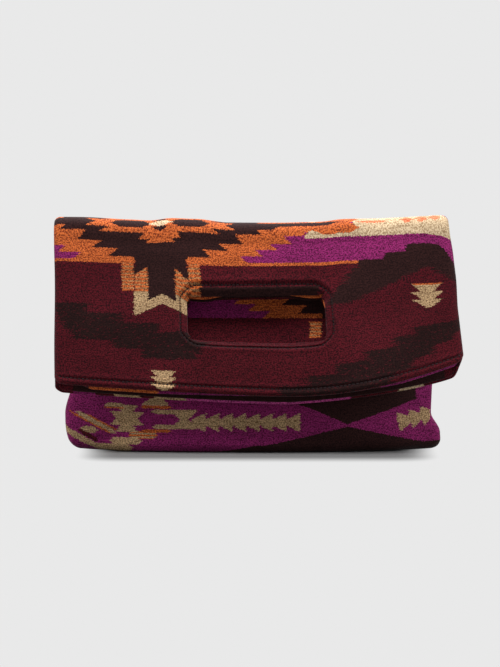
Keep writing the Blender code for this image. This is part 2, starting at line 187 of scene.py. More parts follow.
def ring(s, across):
    """A half ring of the sack round the middle line, with the way it faces."""
    edge, crown, half_width = at("edge", s), at("crown", s), at("half_width", s)
    power = mix(*CROWN_POWERS, ease((s - line["s"][0]) / (MOUTH - line["s"][0])))
    lean = np.arctan(power * crown / half_width)
    join = half_width - edge * (1.0 - np.sin(lean))
    crown_length = join * (1.0 + CROWN_ARC * (crown / join) ** 2)
    edge_length = edge * (math.pi / 2 - lean)
    share = crown_length / (crown_length + edge_length)
    u = np.clip(np.abs(across) / share, 0.0, 1.0)
    turn = lean + (math.pi / 2 - lean) * np.clip((np.abs(across) - share) / (1.0 - share), 0.0, None)
    slope = power * crown / join * u ** (power - 1.0)
    flat = np.hypot(slope, 1.0)
    on_edge = np.abs(across) > share
    x = np.where(on_edge, half_width - edge + edge * np.sin(turn), join * u)
    n = np.where(on_edge, edge * np.cos(turn), edge * np.cos(lean) + crown * (1.0 - u**power))
    out_x = np.where(on_edge, np.sin(turn), slope / flat)
    out_n = np.where(on_edge, np.cos(turn), 1.0 / flat)
    way = np.where(across < 0.0, -1.0, 1.0)
    return way * x, n, way * out_x, out_n


def mouth_lift(side, across):
    lowest = LOWEST_POINT / HALF_GIRTH
    left = np.clip((lowest - across) / (1.0 + lowest), 0.0, None)
    right = np.clip((across - lowest) / (1.0 - lowest), 0.0, None)
    from_seam = (1.0 - np.abs(across)) * HALF_GIRTH
    rounded = MOUTH_CORNERS[0] * np.clip(1.0 - from_seam / MOUTH_CORNERS[1], 0.0, 1.0) ** 2
    if side == BACK:
        worn = OUTER_WORN - OUTER_WORN / 2 * right**6 + rounded
        return LEFT_LIFT * left**LIFT_CURVE + RIGHT_LIFTS[0] * right**OUTER_RIGHT_CURVE + worn
    worn = INNER_WORN[0] + INNER_WORN[1] * right**3 + rounded
    return LEFT_LIFT * left**LIFT_CURVE + RIGHT_LIFTS[1] * right**LIFT_CURVE + worn


HOLE_SINK = 0.0040
HOLE_RISE = 0.0014
HOLE_TILT = 0.0010
HOLE_BOW_REACH = 0.0180
LIP_WIDTH = 0.0066
LIP_CURL = 0.0042
LIP_BEND = 1.3
LOW_LIP_FOLD = 0.0020
HIGH_LIP_HANG = 0.0028
HIGH_LIP_CURL = 0.0030
DENT = 0.0065
DENT_PLACE = (0.113, 0.066, 0.034)


def hole_half():
    """The hand hole's half width, measured along the cloth."""
    x = ring(np.array([HOLE_LOW]), np.array([0.5]))[0][0]
    return HOLE_WIDTH / 4 * HALF_GIRTH / x


def hole_distance(w, s):
    """How far a place on the cloth is outside the hand hole's edge."""
    reach_w = np.abs(w) - (hole_half() - HOLE_CORNER)
    reach_s = np.abs(s - (HOLE_HIGH + HOLE_LOW) / 2) - (HOLE_HEIGHT / 2 - HOLE_CORNER)
    outside = np.hypot(np.maximum(reach_w, 0.0), np.maximum(reach_s, 0.0))
    return outside + np.minimum(np.maximum(reach_w, reach_s), 0.0) - HOLE_CORNER


def hole_bow(w, s):
    """How far cloth beside the hand hole has moved along: its long edges close in and bow."""
    half = hole_half()
    middle, reach = (HOLE_HIGH + HOLE_LOW) / 2, HOLE_HEIGHT / 2
    beside = 1.0 - ease((np.abs(w) - half) / HOLE_BOW_REACH)
    across_hole = np.clip(w / half, -1.0, 1.0)
    high = HOLE_SINK - HOLE_TILT * across_hole + 0.0006 * across_hole**2
    low = -HOLE_RISE - 0.0022 * across_hole**4
    near = np.exp(-(((np.abs(s - middle) - reach) / 0.012) ** 2))
    return np.where(s < middle, high, low) * beside * near


def lay(side, w, s, depth):
    """Places of cloth at w across and s along, this deep under the outside of the sack."""
    across, cut = w / HALF_GIRTH, s
    lip = np.clip(1.0 - np.maximum(hole_distance(w, s), 0.0) / LIP_WIDTH, 0.0, 1.0) ** LIP_BEND
    hole_middle = (HOLE_HIGH + HOLE_LOW) / 2
    high_lip = lip * ease((hole_middle - s - 0.006) / 0.014)
    low_lip = lip * (s > hole_middle + HOLE_CORNER)
    s = s + hole_bow(w, s) + LOW_LIP_FOLD * low_lip + HIGH_LIP_HANG * high_lip
    below_hole = ease((s - HOLE_HIGH) / (MOUTH - HOLE_HIGH))
    s = s - mouth_lift(side, across) * below_hole
    turned = np.clip(s / TURN_LENGTH, 0.0, 1.0) * math.pi / 2
    level = np.maximum(s, TURN_LENGTH)
    x, n, out_x, out_n = ring(level, across)
    inset = BASE_TURN * (1.0 - np.sin(turned))
    x, n = x - inset * out_x, n - inset * out_n
    under = np.clip(-s / BASE_LENGTH, 0.0, 1.0)
    seam = SEAM_BACK * n / (BODY_DEPTH / 2 - BASE_TURN)
    n = mix(side * n, seam, under)
    x = x * (1.0 - CORNER_TUCK * under)
    n = n - side * depth * out_n * np.sin(turned)
    x = x - depth * out_x * np.sin(turned)
    drop = BASE_TURN * (1.0 - np.cos(turned)) - BASE_TURN + depth * np.cos(turned)
    n = n + side * GAP / 2 - FLAP_WRAP * at("wrap", level) * across**2
    n = n - LIP_CURL * lip - HIGH_LIP_CURL * high_lip
    if side == FRONT:
        level_off = ((cut - DENT_PLACE[0]) / DENT_PLACE[2]) ** 4
        n = n + DENT * np.exp(-level_off - (w / DENT_PLACE[1]) ** 4) * (level < fold_start)
    if side == BACK:
        rightward = np.clip((across - PUFF_START) / (1.0 - PUFF_START), 0.0, 1.0)
        n = n + MOUTH_PUFF * np.sin(math.pi * rightward) ** 2 * below_hole**2
    saddle = mix(*SADDLES, across > 0.0) * np.abs(across) ** SADDLE_CURVE
    hung = at("saddle", level) + at("wrap", level)
    x = x + at("drift", level) + hung * (FLAP_SHIFT + SHOULDER * (across > 0.0) * across**2)
    y = at("y", level) + n * at("out_y", level)
    z = at("z", level) + n * at("out_z", level) + drop + saddle * at("saddle", level)
    left_waist = WAISTS[0] * ease((z - 0.028) / 0.032)
    right_waist = WAISTS[1] * ease((z - 0.014) / 0.016)
    waist = np.where(across > 0.0, right_waist, left_waist) * (1.0 - ease((z - 0.075) / 0.07))
    x = x - waist * across**3 * (level < fold_start)
    drawn_in = 0.0020 * ease((0.145 - z) / 0.03) + 0.0072 * ease((0.081 - z) / 0.018)
    right_end = np.clip(across, 0.0, 1.0) ** 10
    x = x - right_end * (drawn_in * (level > fold_end) + 0.0026 * ease((z - 0.160) / 0.028))
    return settle(x + CENTRE_SHIFT[0], y + CENTRE_SHIFT[1], z + CENTRE_SHIFT[2])


TOP_WAVE = (
    (-0.175, 0.0),
    (-0.136, 0.0012),
    (-0.103, 0.0004),
    (-0.087, 0.0),
    (-0.068, 0.0022),
    (-0.050, 0.0018),
    (-0.022, -0.0010),
    (0.018, -0.0012),
    (0.050, -0.0008),
    (0.070, 0.0010),
    (0.100, 0.0006),
    (0.145, 0.0004),
    (0.165, -0.0036),
)


def settle(x, y, z):
    """The uneven way the filled bag stands: gentle waves along its top and soft dents in its sides."""
    risen = np.clip(z / HEIGHT, 0.0, 1.0)
    wave = np.zeros_like(x)
    for (x0, h0), (x1, h1) in zip(TOP_WAVE, TOP_WAVE[1:]):
        wave = np.where((x >= x0) & (x < x1), mix(h0, h1, ease((x - x0) / (x1 - x0))), wave)
    dents = 0.0009 * np.sin(41.0 * x + 0.7) * np.sin(37.0 * z + 1.1) + 0.0005 * np.sin(83.0 * x - 52.0 * z)
    dents = dents * np.sin(math.pi * risen) ** 2
    sway = 0.0006 * np.sin(58.0 * z + 0.4) * risen
    low = np.clip(1.0 - z / 0.022, 0.0, 1.0) ** 2
    tuck = -np.sign(x) * mix(0.0052, -0.0026, x > 0.0) * np.clip(np.abs(x) / 0.156, 0.0, 1.2) ** 8 * low
    splay = np.clip(1.0 - z / 0.035, 0.0, 1.0) * ease((np.abs(x) - 0.075) / 0.065)
    forward = 0.0110 * splay * np.clip(-y / 0.020, 0.0, 1.0)
    return np.stack([x + sway + tuck, y + dents - forward, z + wave * risen**6], axis=-1)


CLOTH_CELL = 0.0026
EDGE_CELL = 0.0008
EDGE_BAND = 0.0100


def stations(start, end, cell):
    return np.linspace(start, end, max(1, math.ceil((end - start) / cell - 1e-9)) + 1)


def joined(*runs):
    return np.unique(np.round(np.concatenate(runs), 7))


def cloth_columns(grown=0.0):
    hole = hole_half() + grown
    half = joined(
        stations(0.0, hole - HOLE_CORNER, CLOTH_CELL),
        stations(hole - HOLE_CORNER, hole, EDGE_CELL),
        stations(hole, hole + EDGE_BAND, EDGE_CELL),
        stations(hole + EDGE_BAND, HALF_GIRTH - EDGE_BAND, CLOTH_CELL),
        stations(HALF_GIRTH - EDGE_BAND, HALF_GIRTH, EDGE_CELL),
    )
    return joined(-half, half)


def flap_rows(start, mouth, grown=0.0):
    high, low = HOLE_HIGH - grown, HOLE_LOW + grown
    return joined(
        stations(start, high - EDGE_BAND, CLOTH_CELL),
        stations(high - EDGE_BAND, high + HOLE_CORNER, EDGE_CELL),
        stations(high + HOLE_CORNER, low - HOLE_CORNER, CLOTH_CELL),
        stations(low - HOLE_CORNER, low + EDGE_BAND, EDGE_CELL),
        stations(low + EDGE_BAND, mouth - EDGE_BAND, CLOTH_CELL),
        stations(mouth - EDGE_BAND, mouth, EDGE_CELL),
    )


def cut_cloth(columns, rows, grown=None):
    """Flat cloth as points and faces. With grown set, the rounded hand hole is left out."""
    w, s = np.meshgrid(columns, rows)
    points = np.stack([w.ravel(), s.ravel()], axis=1)
    wide = len(columns)
    first = (np.arange(len(rows) - 1)[:, None] * wide + np.arange(wide - 1)).ravel()
    quads = np.stack([first, first + 1, first + wide + 1, first + wide], axis=1)
    if grown is None:
        return points, quads.tolist()
    half, high, low = hole_half() + grown, HOLE_HIGH - grown, HOLE_LOW + grown
    middle = points[quads].mean(axis=1)
    inside = (np.abs(middle[:, 0]) < half) & (middle[:, 1] > high) & (middle[:, 1] < low)
    faces = quads[~inside].tolist()
    extra = []
    for way_w in (-1, 1):
        for way_s, end in ((-1, high), (1, low)):
            inner = np.array([way_w * (half - HOLE_CORNER), end - way_s * HOLE_CORNER])
            reach = (points - inner) * (way_w, way_s)
            in_square = (reach > -1e-6).all(axis=1) & (reach < HOLE_CORNER + 1e-6).all(axis=1)
            outer = np.nonzero(in_square & (reach.max(axis=1) > HOLE_CORNER - 1e-6))[0]
            outer = outer[np.argsort(np.arctan2(reach[outer, 1], reach[outer, 0]))]
            arc = [int(outer[0])]
            for k in outer[1:-1]:
                way = reach[k] / np.hypot(*reach[k]) * HOLE_CORNER
                arc.append(len(points) + len(extra))
                extra.append(inner + way * (way_w, way_s))
            arc.append(int(outer[-1]))
            for a, b, c, d in zip(outer, outer[1:], arc[1:], arc):
                face = list(dict.fromkeys([int(a), int(b), c, d]))
                faces.append(face if way_w * way_s > 0 else face[::-1])
    return np.concatenate([points, extra]), faces


def sewn_cloth(name, side, cloth, near, far, mouth=None, relief=None):
    """One layer of cloth between two depths. Its mouth and hole edges are rolled over."""
    points, faces = cloth
    count = len(points)
    directed = np.array([(a, b) for face in faces for a, b in zip(face, face[1:] + face[:1])])
    code = directed[:, 0] * count + directed[:, 1]
    rim = directed[~np.isin(code, directed[:, 1] * count + directed[:, 0])]
    a, b = points[rim[:, 0]], points[rim[:, 1]]
    middle = (a + b) / 2
    rolled = np.zeros(len(rim), dtype=bool)
    if mouth is not None:
        at_mouth = (middle[:, 1] > mouth - 1e-6) & (np.abs(middle[:, 0]) < HALF_GIRTH - 1e-6)
        at_hole = (np.abs(middle[:, 0]) < HALF_GIRTH - 1e-3) & (middle[:, 1] > HOLE_HIGH - 0.003)
        rolled = at_mouth | at_hole & ~at_mouth
    way = np.stack([b[:, 1] - a[:, 1], a[:, 0] - b[:, 0]], axis=1)
    way = way / np.hypot(way[:, 0], way[:, 1])[:, None] * rolled[:, None]
    ways = np.zeros_like(points)
    np.add.at(ways, rim[:, 0], way)
    np.add.at(ways, rim[:, 1], way)
    size = np.hypot(ways[:, 0], ways[:, 1])
    ways = ways / np.where(size > 0.0, size, 1.0)[:, None]

    used = np.unique(np.concatenate([np.array(face) for face in faces]))
    edge = np.unique(rim)
    raised = np.zeros(count) if relief is None else relief(points[:, 0], points[:, 1])
    flat, places, rows = [], [], []

    def add_row(chosen, depth, roll):
        index = np.full(count, -1)
        index[chosen] = np.arange(len(chosen)) + sum(len(f) for f in flat)
        cut = points[chosen] + ways[chosen] * roll
        flat.append(cut)
        places.append(lay(side, cut[:, 0], cut[:, 1], depth))
        rows.append(index)

    add_row(used, near - raised[used], 0.0)
    steps = 4 if mouth is not None else 1
    for k in range(1, steps):
        turn = math.pi * k / steps
        start = near - raised[edge]
        depth = (start + far) / 2 - (far - start) / 2 * math.cos(turn)
        add_row(edge, depth, EDGE_ROLL * math.sin(turn))
    add_row(used, far, 0.0)
    made = [[int(rows[0][k]) for k in face] for face in faces]
    made += [[int(rows[-1][k]) for k in reversed(face)] for face in faces]
    for upper, lower in zip(rows, rows[1:]):
        strip = np.stack([upper[rim[:, 1]], upper[rim[:, 0]], lower[rim[:, 0]], lower[rim[:, 1]]], axis=1)
        made += strip.tolist()
    if side == FRONT:
        made = [face[::-1] for face in made]
    return new_piece(name, np.concatenate(places), made, np.concatenate(flat))


def new_piece(name, places, faces, flat=None):
    """A smooth mesh piece. Its cloth map holds the flat cloth's own metres, across and along."""
    mesh = bpy.data.meshes.new(name)
    mesh.from_pydata(np.asarray(places).tolist(), [], faces)
    if flat is not None:
        corners = np.zeros(len(mesh.loops), dtype=np.int32)
        mesh.loops.foreach_get("vertex_index", corners)
        mesh.uv_layers.new(name="cloth").data.foreach_set("uv", flat[corners].ravel())
    mesh.shade_smooth()
    mesh.set_sharp_from_angle(angle=math.radians(60))
    piece = bpy.data.objects.new(name, mesh)
    bpy.context.scene.collection.objects.link(piece)
    return piece


HOLE_STITCH = 0.0046
MOUTH_STITCH = 0.0046
HOLE_GROOVE = 0.0018
MOUTH_GROOVE = 0.0011
GROOVE_WIDTH = 0.0009
LIP_RISE = 0.0010
SEAM_SINK = 0.0010
SEAM_WIDTH = 0.0013


def stitched(distance, stitch, depth):
    """The groove pulled in by a row of topstitching, and the padded lip outside it."""
    groove = -depth * np.exp(-(((distance - stitch) / GROOVE_WIDTH) ** 2))
    lip = LIP_RISE * np.sin(math.pi * np.clip(distance / stitch, 0.0, 1.0))
    beyond = 0.6 * LIP_RISE * np.exp(-(((distance - stitch - 0.0026) / 0.0016) ** 2))
    return groove + lip + beyond


def flap_relief(mouth):
    def relief(w, s):
        seams = -SEAM_SINK * np.exp(-(((HALF_GIRTH - np.abs(w)) / SEAM_WIDTH) ** 2))
        hole = stitched(np.abs(hole_distance(w, s)), HOLE_STITCH, HOLE_GROOVE)
        inward = ease((HALF_GIRTH - np.abs(w) - 0.001) / 0.012)
        return seams + hole + inward * stitched(mouth - s, MOUTH_STITCH, MOUTH_GROOVE)

    return relief


def panel_rows(mouth):
    return joined(
        stations(-BASE_LENGTH, 0.0, CLOTH_CELL),
        stations(0.0, TURN_LENGTH, TURN_LENGTH / 8),
        stations(TURN_LENGTH, fold_start, CLOTH_CELL),
        stations(fold_start, fold_end, (fold_end - fold_start) / 20),
        flap_rows(fold_end, mouth),
    )


back_cloth = sewn_cloth(
    "back_cloth", BACK, cut_cloth(cloth_columns(), panel_rows(MOUTH), 0.0), 0.0, WOOL, MOUTH, flap_relief(MOUTH)
)


class Wire:
    """A value in a node tree. Arithmetic on wires adds Math nodes to the tree."""

    def __init__(self, tree, socket):
        self.tree, self.socket = tree, socket

    def through(self, operation, *others):
        node = self.tree.nodes.new("ShaderNodeMath")
        node.operation = operation
        for slot, value in zip(node.inputs, (self, *others)):
            feed(self.tree, slot, value)
        return Wire(self.tree, node.outputs[0])

    def __add__(self, other):
        return self.through("ADD", other)

    def __sub__(self, other):
        return self.through("SUBTRACT", other)

    def __mul__(self, other):
        return self.through("MULTIPLY", other)

    def __truediv__(self, other):
        return self.through("DIVIDE", other)

    def __gt__(self, other):
        return self.through("GREATER_THAN", other)

    def __lt__(self, other):
        return self.through("LESS_THAN", other)


def feed(tree, slot, value):
    if isinstance(value, Wire):
        tree.links.new(value.socket, slot)
    else:
        slot.default_value = value


def new_group(name, inputs, outputs):
    tree = bpy.data.node_groups.new(name, "ShaderNodeTree")
    for label in inputs:
        kind = "NodeSocketColor" if "yarn" in label else "NodeSocketFloat"
        tree.interface.new_socket(label, in_out="INPUT", socket_type=kind)
    for label in outputs:
        kind = "NodeSocketColor" if label == "colour" else "NodeSocketFloat"
        tree.interface.new_socket(label, in_out="OUTPUT", socket_type=kind)
    start, end = tree.nodes.new("NodeGroupInput"), tree.nodes.new("NodeGroupOutput")
    return tree, [Wire(tree, start.outputs[label]) for label in inputs], end.inputs


def use_group(tree, group, **values):
    node = tree.nodes.new("ShaderNodeGroup")
    node.node_tree = group
    for label, value in values.items():
        feed(tree, node.inputs[label.replace("_", " ")], value)
    return {output.name: Wire(tree, output) for output in node.outputs}


def noise(tree, across, along, per_across, per_along, detail=2.0, seed=0.0):
    """Noise over the cloth, in waves per millimetre each way."""
    place = tree.nodes.new("ShaderNodeCombineXYZ")
    feed(tree, place.inputs[0], across * per_across)
    feed(tree, place.inputs[1], along * per_along)
    place.inputs[2].default_value = seed
    grain = tree.nodes.new("ShaderNodeTexNoise")
    tree.links.new(place.outputs[0], grain.inputs["Vector"])
    grain.inputs["Scale"].default_value = 1.0
    grain.inputs["Detail"].default_value = detail
    return Wire(tree, grain.outputs[0])


def mix_colours(tree, factor, one, two, blend="MIX"):
    node = tree.nodes.new("ShaderNodeMix")
    node.data_type = "RGBA"
    node.blend_type = blend
    feed(tree, node.inputs[0], factor)
    feed(tree, node.inputs[6], one)
    feed(tree, node.inputs[7], two)
    return Wire(tree, node.outputs[2])


def seen(red, green, blue):
    """A colour as the eye and a screen give it, turned into the light it reflects."""
    parts = [v / 255 for v in (red, green, blue)]
    return (*[v / 12.92 if v <= 0.04045 else ((v + 0.055) / 1.055) ** 2.4 for v in parts], 1.0)


# One stepped motif of the weave: rows of pointed teeth about a middle that may lean, each row
# wider than the last by the same step. Every star, lozenge, block and arrow is made of these.
MOTIF_INPUTS = ["middle", "level", "rise", "fall", "start", "widen", "tooth", "rows", "lean"]
stepped_motif, (across, along, middle, level, rise, fall, start, widen, tooth, rows, lean), out = new_group(
    "stepped motif", ["across", "along", *MOTIF_INPUTS], ["mask"]
)
height = along - level
row = (height / rise).through("MAXIMUM", (height * -1.0) / fall)
whole = row.through("FLOOR")
offset = (across - middle - lean * whole).through("ABSOLUTE")
width = start + widen * whole + tooth * (row - whole)
feed(stepped_motif, out["mask"], (width > offset) * (row < rows))

# The look of the felted wool: two yarns that show through each other in short weft streaks and
# grains, soft clouds of shade, and the nap's height.
WOOL_INPUTS = ["across", "along", "yarn one", "yarn two", "streaks"]
felted_wool, (across, along, yarn_one, yarn_two, streaks), out = new_group(
    "felted wool", WOOL_INPUTS, ["colour", "height"]
)
weft = noise(felted_wool, across, along, 0.14, 1.0, 3.0, 1.7)
grain = noise(felted_wool, across, along, 0.80, 0.95, 2.0, 4.1)
fibre = noise(felted_wool, across, along, 1.9, 2.2, 2.0, 6.7)
cloud = noise(felted_wool, across, along, 0.025, 0.04, 3.0, 8.3)
show = (grain - 0.5) * 5.0 + (weft - 0.5) * streaks + (fibre - 0.5) * 4.5 + 0.40
show = show.through("MAXIMUM", 0.0).through("MINIMUM", 1.0)
both = mix_colours(felted_wool, show, yarn_one, yarn_two)
shade = cloud * 0.6 + (fibre - 0.5) * 1.6 + 0.72
shaded = mix_colours(felted_wool, 1.0, both, shade, "MULTIPLY")
feed(felted_wool, out["colour"], shaded)
feed(felted_wool, out["height"], grain * 0.5 + fibre * 0.3 + weft * 0.2)

# The yarns, by number along the thread scale: the face yarn and the one that shows through it.
MAROON, BROWN, ORANGE, TAN, PURPLE, SALMON, SAND, CREAM, SHADED_BROWN, ROSE_HIGHLIGHT = range(10)
YARNS = (
    (seen(104, 29, 39), seen(32, 15, 19)),
    (seen(60, 35, 34), seen(32, 18, 19)),
    (seen(240, 124, 64), seen(120, 50, 30)),
    (seen(226, 190, 144), seen(118, 88, 62)),
    (seen(172, 52, 124), seen(78, 20, 54)),
    (seen(244, 150, 110), seen(196, 90, 56)),
    (seen(208, 150, 100), seen(96, 58, 38)),
    (seen(240, 214, 176), seen(160, 130, 98)),
    # Shaded brown: the star's brown yarn made darker, as painted shade for the less lit lower flap.
    (seen(49, 29, 28), seen(27, 16, 17)),
    # Rose: a painted highlight for the lit rim of the inner mouth edge, not a yarn of the weave.
    (seen(236, 96, 176), seen(120, 44, 88)),
)


def thread(number):
    return (number + 0.5) / len(YARNS)


def yarn_scale(tree, threads, which):
    scale = tree.nodes.new("ShaderNodeValToRGB")
    scale.color_ramp.interpolation = "CONSTANT"
    stops = scale.color_ramp.elements
    stops[0].position, stops[0].color = 0.0, YARNS[0][which]
    stops[1].position, stops[1].color = 1.0 / len(YARNS), YARNS[1][which]
    for number in range(2, len(YARNS)):
        stops.new(number / len(YARNS)).color = YARNS[number][which]
    feed(tree, scale.inputs[0], threads)
    return Wire(tree, scale.outputs[0])


def weave_motifs(tree, across, along, threads, motifs, speckled=1.0):
    """Lays motifs one over another. Each names its yarn, or two yarns for a striped one."""
    for yarn, values in motifs:
        mask = use_group(tree, stepped_motif, across=across, along=along, **values)["mask"] * speckled
        threads = lay_over(tree, mask, threads, yarn, along)
    return threads


def lay_over(tree, mask, threads, yarn, along=None):
    if isinstance(yarn, tuple):
        striped = (along / STRIPE_PITCH).through("FRACT") > STRIPE_SHARE
        pick = striped * (thread(yarn[1]) - thread(yarn[0])) + thread(yarn[0])
    else:
        pick = thread(yarn)
    laid = tree.nodes.new("ShaderNodeMix")
    feed(tree, laid.inputs[0], mask)
    feed(tree, laid.inputs[2], threads)
    feed(tree, laid.inputs[3], pick)
    return Wire(tree, laid.outputs[0])


STRIPE_PITCH = 2.9
STRIPE_SHARE = 0.42
ROW = 6.3
NEVER = 1e-4


def motif(middle, level, rise, fall, start, widen=0, tooth=0, rows=1, lean=0):
    """Sizes in millimetres. rise and fall are the row heights away from the level, each way."""
    return dict(zip(MOTIF_INPUTS, (middle, level, rise, fall, start, widen, tooth, rows, lean)))


# The stepped star: in its own measure, across from its middle and up from its middle line.
BLOCK = (SAND, ORANGE)
STAR = [
    (PURPLE, motif(0, 0, 27.8, 27.8, 900)),
    (ORANGE, motif(0, 27.9, NEVER, 5.4, 72, 12.6, -6, 14)),
    (ORANGE, motif(0, 0, 4.4, 4.4, 148, 0, -8)),
    (BROWN, motif(0, 24.3, NEVER, ROW, 42.5, 13.8, -7.5, 14)),
    (BROWN, motif(0, 0, 2.8, 2.8, 104, 0, -12)),
    (ORANGE, motif(0, 12.2, NEVER, 3.4, 12.5, 5, -4, 2)),
    (ORANGE, motif(0, 5.6, NEVER, 2.8, 51, 12, -9, 2)),
    (BROWN, motif(0, 2.2, 2.6, NEVER, 7, 0, -6)),
    (BROWN, motif(-24.5, 0, 2.8, 2.8, 17, 0, -8)),
    (BROWN, motif(24.5, 0, 2.8, 2.8, 17, 0, -8)),
    (CREAM, motif(0, 0.0, 2.1, NEVER, 10.5, 0, -8)),
    (BROWN, motif(0, 24.0, 12.5, NEVER, 22.2, 0, -2.0)),
    (BLOCK, motif(-16.5, 32.7, 20.6, NEVER, 5.3)),
    (BLOCK, motif(16.5, 32.7, 20.6, NEVER, 5.3)),
    (BROWN, motif(-22.3, 32.6, 7.0, NEVER, 10.8, 0, -10.8)),
    (BROWN, motif(22.3, 32.6, 7.0, NEVER, 10.8, 0, -10.8)),
    (BLOCK, motif(-27.5, 29.6, 22.4, NEVER, 4.9)),
    (BLOCK, motif(27.5, 29.6, 22.4, NEVER, 4.9)),
    (ORANGE, motif(-27.5, 27.6, 2.2, NEVER, 5.6)),
    (ORANGE, motif(27.5, 27.6, 2.2, NEVER, 5.6)),
    (TAN, motif(0, 52.8, 20.9, NEVER, 22.8)),
    (BROWN, motif(0, 23.6, 36.6, NEVER, 11.3)),
    (TAN, motif(0, 54.6, 5.6, NEVER, 0, 0, 11.5)),
    (MAROON, motif(0, 62.8, 11.0, NEVER, 0, 0, 23.4)),
]


def lozenge(middle, level, half, height):
    """Three pointed lenses, one under another, that stand alone in the maroon."""
    return [
        (TAN, motif(middle, level, height, NEVER, half, 0, -0.6 * half, 2)),
        (TAN, motif(middle, level + 2 * height, 1.15 * height, NEVER, half, 0, -0.85 * half)),
    ]


def wool_material(name, weave, streaks=1.5):
    """Felted wool for a piece with a cloth map. weave lays the motifs over the ground."""
    finish = bpy.data.materials.new(name)
    finish.use_nodes = True
    tree = finish.node_tree
    shader = tree.nodes["Principled BSDF"]
    flat = tree.nodes.new("ShaderNodeUVMap")
    flat.uv_map = "cloth"
    parts = tree.nodes.new("ShaderNodeSeparateXYZ")
    tree.links.new(flat.outputs[0], parts.inputs[0])
    across, along = Wire(tree, parts.outputs[0]) * 1000.0, Wire(tree, parts.outputs[1]) * 1000.0
    rows = noise(tree, across, along, 0.11, 1.25, 1.0, 3.3) - 0.5
    fray = noise(tree, across, along, 0.8, 1.0, 2.0, 5.9) - 0.5
    blur = noise(tree, across, along, 0.9, 0.8, 2.0, 6.1) - 0.5
    crisp = (across + rows * 5.0 + fray * 4.5, along + blur * 2.6)
    soft = (across + rows * 20.0 + fray * 13.0, along + blur * 6.0)
    threads = weave(tree, crisp, soft)
    nap = use_group(
        tree,
        felted_wool,
        across=across,
        along=along,
        yarn_one=yarn_scale(tree, threads, 0),
        yarn_two=yarn_scale(tree, threads, 1),
        streaks=streaks,
    )
    feed(tree, shader.inputs["Base Color"], nap["colour"])
    shader.inputs["Roughness"].default_value = 0.95
    shader.inputs["Specular IOR Level"].default_value = 0.08
    shader.inputs["Sheen Weight"].default_value = 0.16
    shader.inputs["Sheen Roughness"].default_value = 0.35
    bump = tree.nodes.new("ShaderNodeBump")
    bump.inputs["Strength"].default_value = 0.7
    bump.inputs["Distance"].default_value = 0.0006
    feed(tree, bump.inputs["Height"], nap["height"])
    tree.links.new(bump.outputs[0], shader.inputs["Normal"])
    return finish


def start_threads(tree, yarn):
    value = tree.nodes.new("ShaderNodeValue")
    value.outputs[0].default_value = thread(yarn)
    return Wire(tree, value.outputs[0])


def unfolded(along, level):
    """The weave repeats in mirror image about this level."""
    return (along - level).through("ABSOLUTE") + level


def arrows(across, along, first, axis, count, pitch, half, way):
    """A row of arrowheads from first, each pointing the way against which it widens."""
    place = (across - first) * way
    part = (place / pitch).through("FRACT")
    in_row = (place > 0.0) * (place < count * pitch)
    spread = part * (half * 0.68) + half * 0.32
    return (spread > (along - axis).through("ABSOLUTE")) * in_row


STAR_ON_BACK = (-76.3, 196.0)


def drooped(across, along):
    """The weave runs down a little toward the right end of the fold."""
    over = (across - 135.0).through("MAXIMUM", 0.0)
    return along - over * over * 0.006


